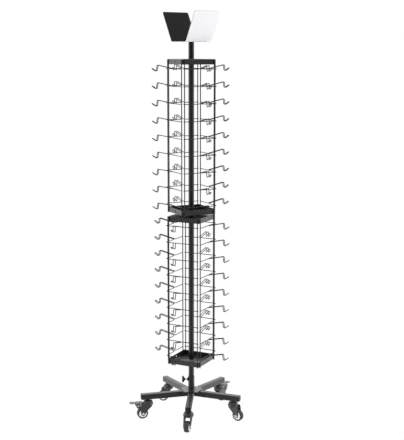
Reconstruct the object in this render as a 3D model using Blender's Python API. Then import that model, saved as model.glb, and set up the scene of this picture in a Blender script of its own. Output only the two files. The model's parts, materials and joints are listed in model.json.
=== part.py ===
"""Rotating display rack: two square wire racks that turn on one mast over a five-arm caster base.

Metres, +Z up. The origin is on the floor, in the middle of the whole rack's footprint. The brake levers
make that lopsided, so the mast stands a little off it. +X is the user's right and +Y points away from
the user. Each rack's panels, trays and bushes hang under an empty on the mast's axis, and each
caster's swivelling pieces under an empty on its stem's axis.
"""

import math

import bmesh
import bpy
from mathutils import Matrix, Vector

GAP = 0.0003
MAST_AXIS = (0.023, 0.0094)

# Base: five square arms under a hub plate, a pentagon whose corners lie between the arms.
ARM_NAMES = ("front", "right", "back_right", "back_left", "left")
FIRST_ARM_YAW = math.radians(-93)
ARM_STEP = math.tau / len(ARM_NAMES)
ARM_SIZE = 0.025
ARM_WALL = 0.0015
ARM_BOTTOM = 0.090
ARM_TOP = ARM_BOTTOM + ARM_SIZE
ARM_INNER_END = 0.018
ARM_OUTER_END = 0.2335
CAP_THICKNESS = 0.003
CAP_PLUG_DEPTH = 0.012
HUB_RADIUS = 0.054
HUB_PLATE = 0.003
HUB_TOP = ARM_TOP + GAP + HUB_PLATE

# Casters: a fixed stem, a swivelling fork and a wheel.
STEM_FROM_MAST = 0.2045
STEM_RADIUS = 0.004
STEM_LOW = 0.0635
STEM_HIGH = 0.111
STEM_FLANGE_RADIUS = 0.010
STEM_FLANGE = (0.0855, ARM_BOTTOM - GAP)
TRAIL = 0.026
TRAIL_YAW = {"front": -102, "right": -34, "back_right": 56, "back_left": 165, "left": 196}
WHEEL_RADIUS = 0.025
WHEEL_HALF_WIDTH = 0.011
WHEEL_SIDES = 16
TYRE_RADIUS = WHEEL_RADIUS / math.cos(math.pi / WHEEL_SIDES)
RIM_RADIUS = 0.0175
AXLE_RADIUS = 0.003
AXLE_HEAD_RADIUS = 0.0055
HOUSING_RADIUS = 0.0235
HOUSING_TOP = 0.0845
HOUSING_BOTTOM = 0.062
LEG_INNER = 0.0130
LEG_OUTER = 0.0160
LEG_END_RADIUS = 0.010
LEVER_PIVOT = (0.049, 0.0655)
LEVER_EAR_RADIUS = 0.0095
LEVER_PIN_RADIUS = 0.0025
PEDAL_HALF_WIDTH = 0.0122
CHEEK_THICKNESS = 0.0015
BRAKED = ("left", "back_right")

# Mast, its socket and the clamp.
MAST_RADIUS = 0.0125
MAST_WALL = 0.0015
MAST_BOTTOM = HUB_TOP + GAP
MAST_TOP = 1.6955
SOCKET_BORE = MAST_RADIUS + GAP
SOCKET_RADIUS = 0.0142
SOCKET_TOP = 0.182
CLAMP_HEIGHT = 0.166
CLAMP_RADIUS = 0.003
CLAMP_BOSS_END = 0.020
KNOB_START = 0.0285
KNOB_END = 0.0425
KNOB_RADIUS = 0.015

# Racks: two trays and four hook panels round the mast.
RACKS = {"lower": (0.2525, math.radians(-26.5)), "upper": (0.9425, math.radians(26.6))}
RACK_HEIGHT = 0.680
TRAY_HALF = 0.0784
TRAY_HEIGHT = 0.0235
TRAY_WALL = 0.0015
TRAY_HOLE_RADIUS = 0.004
BUSH_HOLE_RADIUS = 0.0165
BUSH_SLEEVE_RADIUS = BUSH_HOLE_RADIUS - GAP
BUSH_FLANGE_RADIUS = 0.020
BUSH_FLANGE = 0.003
BUSH_RISE = 0.008
COLLAR_RADIUS = 0.0185
COLLAR_HEIGHT = 0.0055

# Hook panel: two upright wires carry nine hook wires, each one bent from a single rod.
UPRIGHT_WIRE = 0.00225
UPRIGHT_OFFSET = 0.0715
UPRIGHT_OUT = TRAY_HALF + GAP + UPRIGHT_WIRE
UPRIGHT_PAST_TRAY = 0.0025
HOOK_WIRE = 0.0017
HOOK_ROWS = 9
FIRST_ROW = 0.0375
ROW_PITCH = 0.075
CROSSBAR_OUT = UPRIGHT_OUT + 0.003
CROSSBAR_HALF = 0.0790
PRONG_HALF_GAP = 0.0055
PRONG_PROFILE = ((0.000, 0.000), (0.077, 0.017), (0.084, -0.009), (0.104, 0.003))

# Sign: a bent channel on the mast's top, with a printed card round its outside.
SIGN_YAW = math.radians(40)
SIGN_LENGTH = 0.142
SIGN_HALF_BASE = 0.048
SIGN_PANEL = 0.141
SIGN_LEAN = math.radians(26)
SIGN_SHEET = 0.0015
CARD_SHEET = 0.0008
SIGN_SCREW_RADIUS = 0.003


def clear_scene():
    for obj in list(bpy.data.objects):
        bpy.data.objects.remove(obj, do_unlink=True)


def material(name, colour, roughness, metallic=0.0):
    made = bpy.data.materials.new(name)
    made.use_nodes = True
    shader = made.node_tree.nodes["Principled BSDF"]
    shader.inputs["Base Color"].default_value = (*colour, 1.0)
    shader.inputs["Roughness"].default_value = roughness
    shader.inputs["Metallic"].default_value = metallic
    made.diffuse_color = (*colour, 1.0)
    return made


def make_materials():
    return {
        "powder_coat": material("powder_coat", (0.018, 0.018, 0.019), 0.42),
        "wire_coat": material("wire_coat", (0.022, 0.022, 0.024), 0.35),
        "black_plastic": material("black_plastic", (0.020, 0.020, 0.022), 0.50),
        "caster_plastic": material("caster_plastic", (0.020, 0.021, 0.025), 0.35),
        "tyre": material("tyre", (0.040, 0.040, 0.042), 0.60),
        "wheel_hub": material("wheel_hub", (0.72, 0.72, 0.72), 0.45),
        "bright_steel": material("bright_steel", (0.60, 0.60, 0.61), 0.30, 1.0),
        "lever_steel": material("lever_steel", (0.34, 0.34, 0.35), 0.40, 0.6),
        "bush_nylon": material("bush_nylon", (0.62, 0.62, 0.61), 0.50),
        "sign_black": material("sign_black", (0.012, 0.012, 0.012), 0.55),
        "sign_card": material("sign_card", (0.88, 0.89, 0.93), 0.40),
    }


def add_object(name, bm, finish, parent=None, matrix=None):
    """Turns a bmesh into a named object, shaded smooth except over sharp edges."""
    mesh = bpy.data.meshes.new(name)
    bmesh.ops.recalc_face_normals(bm, faces=bm.faces)
    bm.to_mesh(mesh)
    bm.free()
    mesh.materials.append(finish)
    return add_copy(name, mesh, parent, matrix)


def add_copy(name, mesh, parent=None, matrix=None):
    obj = bpy.data.objects.new(name, mesh)
    bpy.context.collection.objects.link(obj)
    mesh.shade_smooth()
    mesh.set_sharp_from_angle(angle=math.radians(35))
    if parent is not None:
        obj.parent = parent
    if matrix is not None:
        obj.matrix_basis = matrix
    return obj


def add_empty(name, location, yaw, parent=None):
    empty = bpy.data.objects.new(name, None)
    bpy.context.collection.objects.link(empty)
    empty.location = location
    empty.rotation_euler = (0.0, 0.0, yaw)
    empty.parent = parent
    return empty


def combine(base, tools, operation):
    """Applies a Boolean with each tool in turn and removes the tools."""
    for tool in tools:
        step = base.modifiers.new(operation.lower(), "BOOLEAN")
        step.operation = operation
        step.solver = "EXACT"
        step.object = tool
        bpy.context.view_layer.update()
        evaluated = base.evaluated_get(bpy.context.evaluated_depsgraph_get())
        result = bpy.data.meshes.new_from_object(evaluated)
        base.modifiers.remove(step)
        base.data = result
        bpy.data.objects.remove(tool, do_unlink=True)
    base.data.shade_smooth()
    base.data.set_sharp_from_angle(angle=math.radians(35))
    return base


def turned(profile, sides):
    """A solid of revolution about Z. A profile that starts and ends on the axis closes there."""
    bm = bmesh.new()
    on_axis = profile[0][0] == 0.0
    inner = profile[1:-1] if on_axis else profile
    rings = []
    for radius, height in inner:
        ring = []
        for i in range(sides):
            angle = math.tau * (i + 0.5) / sides
            ring.append(bm.verts.new((radius * math.cos(angle), radius * math.sin(angle), height)))
        rings.append(ring)
    pairs = list(zip(rings, rings[1:]))
    if not on_axis:
        pairs.append((rings[-1], rings[0]))
    for low, high in pairs:
        for i in range(sides):
            j = (i + 1) % sides
            bm.faces.new((low[i], low[j], high[j], high[i]))
    if on_axis:
        bm.faces.new(rings[0])
        bm.faces.new(rings[-1])
    return bm


def prism(outline, low, high):
    """A polygon in XY, extruded from z = low to z = high."""
    bm = bmesh.new()
    bottom = [bm.verts.new((x, y, low)) for x, y in outline]
    top = [bm.verts.new((x, y, high)) for x, y in outline]
    bm.faces.new(bottom)
    bm.faces.new(top)
    for i in range(len(outline)):
        j = (i + 1) % len(outline)
        bm.faces.new((bottom[i], bottom[j], top[j], top[i]))
    return bm


def block(x_range, y_range, z_range):
    (x0, x1), (y0, y1) = x_range, y_range
    return prism(((x0, y0), (x1, y0), (x1, y1), (x0, y1)), *z_range)


def arc(centre, radius, start, end, steps):
    """Points along an arc, angles in degrees."""
    points = []
    for i in range(steps + 1):
        angle = math.radians(start + (end - start) * i / steps)
        points.append((centre[0] + radius * math.cos(angle), centre[1] + radius * math.sin(angle)))
    return points


def upright_plate(outline, low, high):
    """A prism whose outline lies in XZ, spanning y = low to y = high."""
    bm = prism(outline, -high, -low)
    bmesh.ops.transform(bm, matrix=Matrix.Rotation(math.pi / 2, 4, "X"), verts=bm.verts)
    return bm


def rod(radius, length, sides=12):
    """A plain cylinder along +Z from z = 0."""
    return turned(((0, 0), (radius, 0), (radius, length), (0, length)), sides)


def square_wire(points, half):
    """A square rod of half-thickness half along a path, mitred at each corner."""
    bm = bmesh.new()
    points = [Vector(point) for point in points]
    runs = [(b - a).normalized() for a, b in zip(points, points[1:])]
    side = Vector((0, 1, 0)) if abs(runs[0].z) > 0.5 else Vector((0, 0, 1))
    rings = []
    for i, point in enumerate(points):
        before = runs[max(i - 1, 0)]
        after = runs[min(i, len(runs) - 1)]
        other = before.cross(side)
        cut = (before + after).normalized()
        ring = []
        for a, b in ((1, 1), (-1, 1), (-1, -1), (1, -1)):
            offset = (side * a + other * b) * half
            slide = offset.dot(cut) / before.dot(cut)
            ring.append(bm.verts.new(point + offset - before * slide))
        rings.append(ring)
        side = (before.rotation_difference(after) @ side).normalized()
    for low, high in zip(rings, rings[1:]):
        for i in range(4):
            j = (i + 1) % 4
            bm.faces.new((low[i], low[j], high[j], high[i]))
    bm.faces.new(rings[0])
    bm.faces.new(rings[-1])
    return bm


def move(x=0.0, y=0.0, z=0.0):
    return Matrix.Translation((x, y, z))


def turn(angle, axis="Z"):
    return Matrix.Rotation(angle, 4, axis)


def make_hub(finish):
    profile = ((0, 0), (HUB_RADIUS, 0), (HUB_RADIUS, HUB_PLATE), (0, HUB_PLATE))
    place = turn(FIRST_ARM_YAW) @ move(z=ARM_TOP + GAP)
    add_object("hub_plate", turned(profile, len(ARM_NAMES)), finish, matrix=place)


def make_arm(name, yaw, finish, cap_finish):
    """A square tube along +X from the hub, with a hole for the caster's stem and a cap in its end."""
    half, inner = ARM_SIZE / 2, ARM_SIZE / 2 - ARM_WALL
    middle = ARM_BOTTOM + half
    place = turn(yaw) @ move(z=middle)
    arm = add_object(
        f"base_arm_{name}", block((ARM_INNER_END, ARM_OUTER_END), (-half, half), (-half, half)), finish
    )
    past = 0.001
    bore = block((ARM_INNER_END - past, ARM_OUTER_END + past), (-inner, inner), (-inner, inner))
    hole = rod(STEM_RADIUS + GAP, half)
    cutters = [
        add_object("arm_bore", bore, finish),
        add_object("stem_hole", hole, finish, matrix=move(STEM_FROM_MAST, 0.0, -half - past)),
    ]
    combine(arm, cutters, "DIFFERENCE")
    arm.matrix_basis = place
    plug = inner - GAP
    face = ARM_OUTER_END + GAP
    cap = add_object(
        f"arm_end_cap_{name}", block((face, face + CAP_THICKNESS), (-half, half), (-half, half)), cap_finish
    )
    stub = block((ARM_OUTER_END - CAP_PLUG_DEPTH, face + past), (-plug, plug), (-plug, plug))
    combine(cap, [add_object("cap_plug", stub, cap_finish)], "UNION")
    cap.matrix_basis = place


def fork_leg_outline(braked):
    """Side view of a fork leg: down from the housing to the axle and up its rear edge.

    A braked leg also reaches out to an ear round the lever's pivot, past a slot behind the leg.
    """
    outline = [(-0.0165, HOUSING_BOTTOM + 0.004), (-0.0162, HOUSING_BOTTOM - 0.0025), (0.0040, 0.0400)]
    outline += arc((TRAIL, WHEEL_RADIUS), LEG_END_RADIUS, 190, 350, 5)
    if braked:
        outline += [(0.0360, 0.0400), (0.0470, 0.0530)]
        outline += arc(LEVER_PIVOT, LEVER_EAR_RADIUS, -50, 190, 6)
        outline += [(0.0376, 0.0560), (0.0349, 0.0528)]
    outline += [(0.0318, 0.0540), (0.0294, 0.0690), (0.0262, 0.0718), (0.0120, 0.0718)]
    return outline


def make_fork(name, swivel, finish):
    """The turned housing round the stem, two legs beside the wheel and the axle riveted between them."""
    braked = name in BRAKED
    bore = STEM_RADIUS + GAP
    rim = HOUSING_RADIUS
    profile = (
        (bore, HOUSING_BOTTOM),
        (rim - 0.003, HOUSING_BOTTOM),
        (rim, HOUSING_BOTTOM + 0.006),
        (rim, HOUSING_TOP - 0.0125),
        (rim - 0.0020, HOUSING_TOP - 0.0065),
        (rim - 0.0040, HOUSING_TOP - 0.0025),
        (rim - 0.0085, HOUSING_TOP),
        (bore, HOUSING_TOP),
    )
    fork = add_object(f"caster_fork_{name}", turned(profile, WHEEL_SIDES), finish, parent=swivel)
    tools = []
    for side in (-1, 1):
        low, high = sorted((side * LEG_INNER, side * LEG_OUTER))
        leg = upright_plate(fork_leg_outline(braked), low, high)
        tools.append(add_object("leg", leg, finish, parent=swivel))
    head, neck = LEG_OUTER + 0.0012, LEG_OUTER - 0.0008
    axle = turned(
        (
            (0, -head),
            (AXLE_HEAD_RADIUS, -head),
            (AXLE_HEAD_RADIUS, -neck),
            (AXLE_RADIUS, -neck),
            (AXLE_RADIUS, neck),
            (AXLE_HEAD_RADIUS, neck),
            (AXLE_HEAD_RADIUS, head),
            (0, head),
        ),
        8,
    )
    across = move(TRAIL, 0.0, WHEEL_RADIUS) @ turn(math.pi / 2, "X")
    tools.append(add_object("axle", axle, finish, parent=swivel, matrix=across))
    combine(fork, tools, "UNION")
    if braked:
        pin_hole = rod(LEVER_PIN_RADIUS + GAP, 4 * LEG_OUTER, 8)
        across = move(LEVER_PIVOT[0], 2 * LEG_OUTER, LEVER_PIVOT[1]) @ turn(math.pi / 2, "X")
        combine(fork, [add_object("pin_hole", pin_hole, finish, parent=swivel, matrix=across)], "DIFFERENCE")


def make_stem(name, stem_place, finish):
    """The pin that stands in the arm, with a flange under the tube's wall."""
    low, high = STEM_FLANGE
    profile = (
        (0, STEM_LOW),
        (STEM_RADIUS, STEM_LOW),
        (STEM_RADIUS, low),
        (STEM_FLANGE_RADIUS, low),
        (STEM_FLANGE_RADIUS, high),
        (STEM_RADIUS, high),
        (STEM_RADIUS, STEM_HIGH),
        (0, STEM_HIGH),
    )
    add_object(f"caster_stem_{name}", turned(profile, 12), finish, parent=stem_place)


def make_wheel(name, swivel, hub_finish, tyre_finish):
    """The hub on the axle and the tyre round it, both about the axle's line."""
    bore = AXLE_RADIUS + GAP
    half = WHEEL_HALF_WIDTH
    hub = (
        (bore, -half - 0.0015),
        (bore + 0.004, -half - 0.0015),
        (RIM_RADIUS, -half + 0.0010),
        (RIM_RADIUS, half - 0.0010),
        (bore + 0.004, half + 0.0015),
        (bore, half + 0.0015),
    )
    inner, outer = RIM_RADIUS + GAP, TYRE_RADIUS
    tyre = (
        (inner, -half),
        (outer - 0.003, -half),
        (outer, -half + 0.004),
        (outer, half - 0.004),
        (outer - 0.003, half),
        (inner, half),
    )
    along_axle = move(TRAIL, 0.0, WHEEL_RADIUS) @ turn(math.pi / 2, "X")
    for node, profile, finish in ((f"wheel_hub_{name}", hub, hub_finish), (f"tyre_{name}", tyre, tyre_finish)):
        add_object(node, turned(profile, WHEEL_SIDES), finish, parent=swivel, matrix=along_axle)


def make_lever(name, swivel, finish):
    """The foot pedal behind the wheel: a necked plate, two cheeks, the brake shoe and the pivot pin."""
    cheek_out = LEG_INNER - GAP
    cheek_in = cheek_out - CHEEK_THICKNESS
    plate_z = 0.0100
    root = block((-0.0225, 0.0075), (-PEDAL_HALF_WIDTH, PEDAL_HALF_WIDTH), (plate_z, plate_z + 0.0030))
    lever = add_object(f"brake_lever_{name}", root, finish)
    neck = block((0.0065, 0.0175), (-0.0075, 0.0075), (plate_z + 0.0003, plate_z + 0.0027))
    pedal = block((0.0165, 0.0366), (-PEDAL_HALF_WIDTH, PEDAL_HALF_WIDTH), (plate_z - 0.0010, plate_z + 0.0040))
    tools = [add_object("neck", neck, finish), add_object("pedal", pedal, finish)]
    cheek = (
        (-0.0180, plate_z + 0.001),
        (-0.0165, -0.0050),
        (-0.0065, -0.0180),
        (0.0015, -0.0180),
        (0.0065, plate_z + 0.001),
    )
    for side in (-1, 1):
        low, high = sorted((side * cheek_in, side * cheek_out))
        tools.append(add_object("cheek", upright_plate(cheek, low, high), finish))
    shoe = ((-0.0055, -0.0175), (-0.0045, -0.0145), (-0.0005, -0.0145), (0.0005, -0.0175))
    reach = (cheek_in + cheek_out) / 2
    tools.append(add_object("shoe", upright_plate(shoe, -reach, reach), finish))
    head = LEG_OUTER + 0.0018
    pin = turned(
        (
            (0, -head),
            (0.0040, -head),
            (0.0040, -LEG_OUTER - GAP),
            (LEVER_PIN_RADIUS, -LEG_OUTER - GAP),
            (LEVER_PIN_RADIUS, LEG_OUTER + GAP),
            (0.0040, LEG_OUTER + GAP),
            (0.0040, head),
            (0, head),
        ),
        12,
    )
    tools.append(add_object("pin", pin, finish, matrix=turn(math.pi / 2, "X")))
    combine(lever, tools, "UNION")
    lever.parent = swivel
    lever.matrix_basis = move(LEVER_PIVOT[0], 0.0, LEVER_PIVOT[1])


def make_casters(finishes):
    for i, name in enumerate(ARM_NAMES):
        yaw = FIRST_ARM_YAW + i * ARM_STEP
        make_arm(name, yaw, finishes["powder_coat"], finishes["black_plastic"])
        x, y = STEM_FROM_MAST * math.cos(yaw), STEM_FROM_MAST * math.sin(yaw)
        stem_place = add_empty(f"stem_axis_{name}", (x, y, 0.0), 0.0)
        make_stem(name, stem_place, finishes["powder_coat"])
        swivel = add_empty(f"swivel_{name}", (0.0, 0.0, 0.0), math.radians(TRAIL_YAW[name]), stem_place)
        make_fork(name, swivel, finishes["caster_plastic"])
        make_wheel(name, swivel, finishes["wheel_hub"], finishes["tyre"])
        if name in BRAKED:
            make_lever(name, swivel, finishes["lever_steel"])


def make_mast(finishes):
    inner = MAST_RADIUS - MAST_WALL
    tube = turned(
        ((inner, MAST_BOTTOM), (MAST_RADIUS, MAST_BOTTOM), (MAST_RADIUS, MAST_TOP), (inner, MAST_TOP)), 20
    )
    add_object("mast", tube, finishes["powder_coat"])
    socket = turned(
        (
            (SOCKET_BORE, HUB_TOP + GAP),
            (SOCKET_RADIUS, HUB_TOP + GAP),
            (SOCKET_RADIUS, SOCKET_TOP),
            (SOCKET_BORE, SOCKET_TOP),
        ),
        20,
    )
    sleeve = add_object("socket_tube", socket, finishes["powder_coat"])
    towards_clamp = move(z=CLAMP_HEIGHT) @ turn(-math.pi / 2, "Y")
    start = SOCKET_BORE + 0.0006
    boss = turned(
        ((0, start), (0.0095, start), (0.0095, 0.0155), (0.0045, CLAMP_BOSS_END), (0, CLAMP_BOSS_END)), 16
    )
    combine(sleeve, [add_object("boss", boss, finishes["powder_coat"], matrix=towards_clamp)], "UNION")
    hole = rod(CLAMP_RADIUS + GAP, CLAMP_BOSS_END, 16)
    cutter_place = towards_clamp @ move(z=0.002)
    combine(sleeve, [add_object("screw_hole", hole, finishes["powder_coat"], matrix=cutter_place)], "DIFFERENCE")
    make_clamp(towards_clamp, finishes)
    make_mast_plug(finishes["black_plastic"])


def make_clamp(place, finishes):
    """The clamp screw, from the mast's wall out into the middle of its knob."""
    tip = MAST_RADIUS + GAP
    neck, seat = 0.0045, KNOB_START + 0.008
    screw = rod(CLAMP_RADIUS, seat - tip, 12)
    add_object("clamp_screw", screw, finishes["bright_steel"], matrix=place @ move(z=tip))
    bore = CLAMP_RADIUS + GAP
    knob = turned(
        (
            (0, seat + GAP),
            (bore, seat + GAP),
            (bore, KNOB_START),
            (neck, KNOB_START),
            (neck + 0.0015, KNOB_START + 0.0025),
            (0.0115, KNOB_START + 0.0055),
            (KNOB_RADIUS, KNOB_START + 0.0070),
            (KNOB_RADIUS, KNOB_END - 0.001),
            (KNOB_RADIUS - 0.001, KNOB_END),
            (0, KNOB_END),
        ),
        16,
    )
    add_object("clamp_knob", knob, finishes["black_plastic"], matrix=place)


def make_mast_plug(finish):
    """The insert in the mast's top that the sign's screw goes into."""
    radius = MAST_RADIUS - MAST_WALL - GAP
    bore = SIGN_SCREW_RADIUS + GAP
    low, high = MAST_TOP - 0.020, MAST_TOP - GAP
    plug = turned(((bore, low), (radius, low), (radius, high), (bore, high)), 16)
    add_object("mast_top_plug", plug, finish)


def make_tray(name, floor_low, axis, finish):
    """A square tray with a hole for its bush and a bolt hole in two opposite walls."""
    inner = TRAY_HALF - TRAY_WALL
    tray = add_object(name, block((-TRAY_HALF, TRAY_HALF), (-TRAY_HALF, TRAY_HALF), (0, TRAY_HEIGHT)), finish)
    inside = (TRAY_WALL, TRAY_HEIGHT + 0.001) if floor_low else (-0.001, TRAY_HEIGHT - TRAY_WALL)
    reach = TRAY_HALF + 0.002
    across = move(x=-reach, z=TRAY_HEIGHT / 2) @ turn(math.pi / 2, "Y")
    cutters = [
        add_object("inside", block((-inner, inner), (-inner, inner), inside), finish),
        add_object("bush_hole", rod(BUSH_HOLE_RADIUS, TRAY_HEIGHT + 0.01, 16), finish, matrix=move(z=-0.005)),
        add_object("bolt_hole", rod(TRAY_HOLE_RADIUS, 2 * reach, 8), finish, matrix=across),
    ]
    combine(tray, cutters, "DIFFERENCE")
    tray.parent = axis
    return tray


def make_bush(name, flange_low, axis, height, finish):
    """A flanged sleeve round the mast. Its flange lies under the tray's plate."""
    bore = MAST_RADIUS + GAP
    low = flange_low
    profile = (
        (bore, low),
        (BUSH_FLANGE_RADIUS, low),
        (BUSH_FLANGE_RADIUS, low + BUSH_FLANGE),
        (BUSH_SLEEVE_RADIUS, low + BUSH_FLANGE),
        (BUSH_SLEEVE_RADIUS, low + BUSH_FLANGE + height),
        (bore, low + BUSH_FLANGE + height),
    )
    add_object(name, turned(profile, 16), finish, parent=axis)


def make_panel_mesh(finish):
    """Two upright wires with nine hook wires welded across them, in the frame of the +Y face."""
    thick = math.sqrt(math.pi) / 2
    low, high = -UPRIGHT_PAST_TRAY, RACK_HEIGHT - UPRIGHT_PAST_TRAY
    hooks = bmesh.new()
    for row in range(HOOK_ROWS):
        height = FIRST_ROW + row * ROW_PITCH
        half_path = [(CROSSBAR_HALF, CROSSBAR_OUT, height)]
        half_path += [(PRONG_HALF_GAP, CROSSBAR_OUT + out, height + up) for out, up in PRONG_PROFILE]
        path = half_path + [(-x, y, z) for x, y, z in reversed(half_path)]
        wire = square_wire(path, HOOK_WIRE * thick)
        piece = bpy.data.meshes.new("hook")
        wire.to_mesh(piece)
        wire.free()
        hooks.from_mesh(piece)
        bpy.data.meshes.remove(piece)
    panel = add_object("panel", hooks, finish)
    uprights = []
    for side in (-1, 1):
        x = side * UPRIGHT_OFFSET
        path = [(x, UPRIGHT_OUT, low), (x, UPRIGHT_OUT, high)]
        uprights.append(add_object("upright", square_wire(path, UPRIGHT_WIRE * thick), finish))
    combine(panel, uprights, "UNION")
    mesh = panel.data
    bpy.data.objects.remove(panel, do_unlink=True)
    return mesh


def make_racks(finishes):
    panel = make_panel_mesh(finishes["wire_coat"])
    for rack, (height, yaw) in RACKS.items():
        axis = add_empty(f"{rack}_rack_axis", (0.0, 0.0, height), yaw)
        make_tray(f"{rack}_rack_base_tray", True, axis, finishes["powder_coat"])
        top = make_tray(f"{rack}_rack_top_tray", False, axis, finishes["powder_coat"])
        top.matrix_basis = move(z=RACK_HEIGHT - TRAY_HEIGHT)
        under = -GAP - BUSH_FLANGE
        make_bush(f"{rack}_rack_base_bush", under, axis, BUSH_RISE, finishes["bush_nylon"])
        under += RACK_HEIGHT - TRAY_WALL
        make_bush(f"{rack}_rack_top_bush", under, axis, TRAY_WALL + GAP, finishes["bush_nylon"])
        for face in range(4):
            add_copy(f"{rack}_rack_hook_panel_{face + 1}", panel, axis, turn(face * math.pi / 2))
        make_collar(f"{rack}_stop_collar", height - 2 * GAP - BUSH_FLANGE, finishes["bright_steel"])


def make_collar(name, top, finish):
    """The ring on the mast that a rack's lower bush turns on."""
    bore, low = MAST_RADIUS + GAP, top - COLLAR_HEIGHT
    profile = ((bore, low), (COLLAR_RADIUS, low), (COLLAR_RADIUS, top), (bore, top))
    add_object(name, turned(profile, 16), finish)


def channel_section(out, thickness):
    """The sign's cross-section: a flat base and two leaning sides, out from the bend line by out."""
    lean, cos = math.tan(SIGN_LEAN), math.cos(SIGN_LEAN)
    top = SIGN_PANEL * cos

    def half_outline(offset):
        foot = SIGN_HALF_BASE + offset / cos - offset * lean
        return [(foot, -offset), (foot + (top + offset) * lean, top)]

    near, far = half_outline(out), half_outline(out + thickness)
    right = near + far[::-1]
    return [(near[0][0], near[0][1]), near[1], far[1], far[0]], right


def channel(out, thickness):
    """The bent sheet of the sign's cross-section, along X, with its bend line at z = 0."""
    (near_foot, near_top, far_top, far_foot), _ = channel_section(out, thickness)
    outline = [near_top, near_foot]
    outline += [(-near_foot[0], near_foot[1]), (-near_top[0], near_top[1])]
    outline += [(-far_top[0], far_top[1]), (-far_foot[0], far_foot[1]), far_foot, far_top]
    bm = prism(outline, -SIGN_LENGTH / 2, SIGN_LENGTH / 2)
    spin = Matrix(((0, 0, 1, 0), (1, 0, 0, 0), (0, 1, 0, 0), (0, 0, 0, 1)))
    bmesh.ops.transform(bm, matrix=spin, verts=bm.verts)
    return bm


def make_sign(finishes):
    """The bent sign holder, the card round its outside and the screw into the mast's plug."""
    base_under = MAST_TOP + GAP + CARD_SHEET + GAP
    place = turn(SIGN_YAW) @ move(z=base_under + SIGN_SHEET)
    holder = add_object("sign_holder", channel(0.0, SIGN_SHEET), finishes["sign_black"])
    card = add_object("sign_card", channel(SIGN_SHEET + GAP, CARD_SHEET), finishes["sign_card"])
    for sheet in (holder, card):
        hole = rod(SIGN_SCREW_RADIUS + GAP, 0.02)
        cutter = add_object("screw_hole", hole, finishes["sign_black"], matrix=move(z=-0.01))
        combine(sheet, [cutter], "DIFFERENCE")
        sheet.matrix_basis = place
    head = MAST_TOP + 2 * GAP + CARD_SHEET + SIGN_SHEET + GAP
    profile = (
        (0, MAST_TOP - 0.016),
        (SIGN_SCREW_RADIUS, MAST_TOP - 0.016),
        (SIGN_SCREW_RADIUS, head),
        (0.006, head),
        (0.0055, head + 0.0025),
        (0, head + 0.003),
    )
    add_object("sign_screw", turned(profile, 12), finishes["bright_steel"])


def main():
    clear_scene()
    finishes = make_materials()
    make_hub(finishes["powder_coat"])
    make_casters(finishes)
    make_mast(finishes)
    make_racks(finishes)
    make_sign(finishes)
    for obj in bpy.data.objects:
        if obj.parent is None:
            obj.matrix_basis = move(*MAST_AXIS) @ obj.matrix_basis


main()
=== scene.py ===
"""Looks for the rotating display rack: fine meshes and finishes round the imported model.

Metres, in the model's frame: +Z up, origin on the floor. Each fine piece stands for one CAD node and
rides on that node's body. The bright axles and pin heads stand for no node of their own and only ride
along. Places are worked out from the mast's axis.
"""

import json
import math

import bmesh
import bpy
from mathutils import Matrix, Vector


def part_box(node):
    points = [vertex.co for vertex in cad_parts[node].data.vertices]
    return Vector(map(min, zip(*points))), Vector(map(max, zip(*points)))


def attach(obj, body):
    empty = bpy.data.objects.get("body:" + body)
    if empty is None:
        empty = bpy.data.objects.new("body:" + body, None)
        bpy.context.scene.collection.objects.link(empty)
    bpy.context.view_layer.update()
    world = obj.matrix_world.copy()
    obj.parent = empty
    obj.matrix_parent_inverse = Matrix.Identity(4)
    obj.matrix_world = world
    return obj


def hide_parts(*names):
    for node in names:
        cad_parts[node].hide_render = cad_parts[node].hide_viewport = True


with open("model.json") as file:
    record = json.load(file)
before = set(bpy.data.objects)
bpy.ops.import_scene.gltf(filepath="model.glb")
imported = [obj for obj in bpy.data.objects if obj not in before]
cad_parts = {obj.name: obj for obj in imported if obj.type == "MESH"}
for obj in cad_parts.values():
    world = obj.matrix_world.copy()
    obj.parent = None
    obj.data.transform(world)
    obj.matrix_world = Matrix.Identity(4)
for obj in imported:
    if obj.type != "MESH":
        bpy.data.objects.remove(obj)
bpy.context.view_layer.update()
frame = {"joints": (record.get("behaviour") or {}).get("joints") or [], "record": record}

GAP = 0.0003
RECORD = frame["record"]
SLOT_OF = {entry["node"]: entry["material_slot"] for entry in RECORD["subparts"]}
BODY_OF = {node: body for body, nodes in RECORD["behaviour"]["bodies"].items() for node in nodes}
JOINTS = {joint["name"]: joint for joint in frame["joints"]}
AXIS_X, AXIS_Y = JOINTS["lower_rack_spin"]["pos_m"][:2]
MAST_AXIS = Matrix.Translation((AXIS_X, AXIS_Y, 0.0))

# Base. CAP_PROFILE has rows of (way out from the arm's end, growth over the arm's half width).
ARM_NAMES = ("front", "right", "back_right", "back_left", "left")
FIRST_ARM_YAW = math.radians(-93)
ARM_STEP = math.tau / len(ARM_NAMES)
ARM_SIZE = 0.025
ARM_WALL = 0.0015
ARM_CORNER = 0.0022
ARM_INNER_END = 0.018
ARM_OUTER_END = 0.2335
CAP_PROFILE = ((0.0, -0.0004), (0.0006, 0.0), (0.0018, -0.0001), (0.0026, -0.0008), (0.003, -0.0026))
HUB_RADIUS = 0.054
HUB_CORNER = 0.004
HUB_THICKNESS = 0.003

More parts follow.
